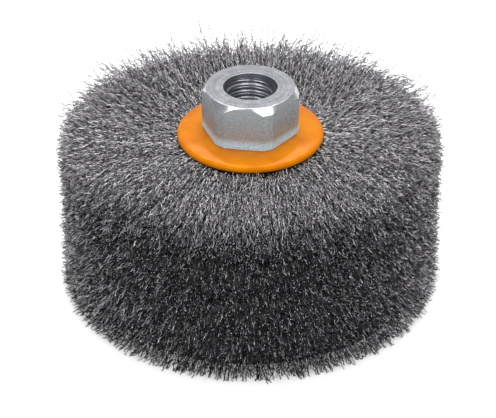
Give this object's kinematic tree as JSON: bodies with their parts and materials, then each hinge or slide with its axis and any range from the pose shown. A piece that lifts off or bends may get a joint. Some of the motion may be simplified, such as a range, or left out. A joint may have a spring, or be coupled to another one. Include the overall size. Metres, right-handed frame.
{
  "type": "crimped wire drum brush",
  "caption": "Wide-face drum brush of crimped steel wire on a threaded hexagon hub with a painted flange, for an angle grinder spindle.",
  "frame": {"origin": "on the spindle axis at the level of the lowest wire tips", "axes": "+Z along the spindle axis, from the foot of the brush up through the hexagon; the hexagon has flats facing -Y and +Y"},
  "size_m": [0.1172, 0.1172, 0.0653],
  "materials": {
    "zinc_plated_steel": "bright zinc plating over turned steel",
    "orange_paint": "glossy orange enamel",
    "wire_steel": "drawn and crimped carbon steel wire, lightly oiled",
    "bright_steel": "bare pressed steel"
  },
  "bodies": {
    "root": {"hub_nut": "zinc_plated_steel", "top_flange": "orange_paint", "bottom_flange": "orange_paint", "end_washer": "zinc_plated_steel", "row_ferrule_1": "bright_steel", "lower_plate_1": "bright_steel", "upper_plate_1": "bright_steel", "core_ring_1": "bright_steel", "wire_row_1": "wire_steel", "spacer_1": "bright_steel", "row_ferrule_2": "bright_steel", "lower_plate_2": "bright_steel", "upper_plate_2": "bright_steel", "core_ring_2": "bright_steel", "wire_row_2": "wire_steel", "spacer_2": "bright_steel", "row_ferrule_3": "bright_steel", "lower_plate_3": "bright_steel", "upper_plate_3": "bright_steel", "core_ring_3": "bright_steel", "wire_row_3": "wire_steel", "spacer_3": "bright_steel", "row_ferrule_4": "bright_steel", "lower_plate_4": "bright_steel", "upper_plate_4": "bright_steel", "core_ring_4": "bright_steel", "wire_row_4": "wire_steel"}
  },
  "joints": []
}
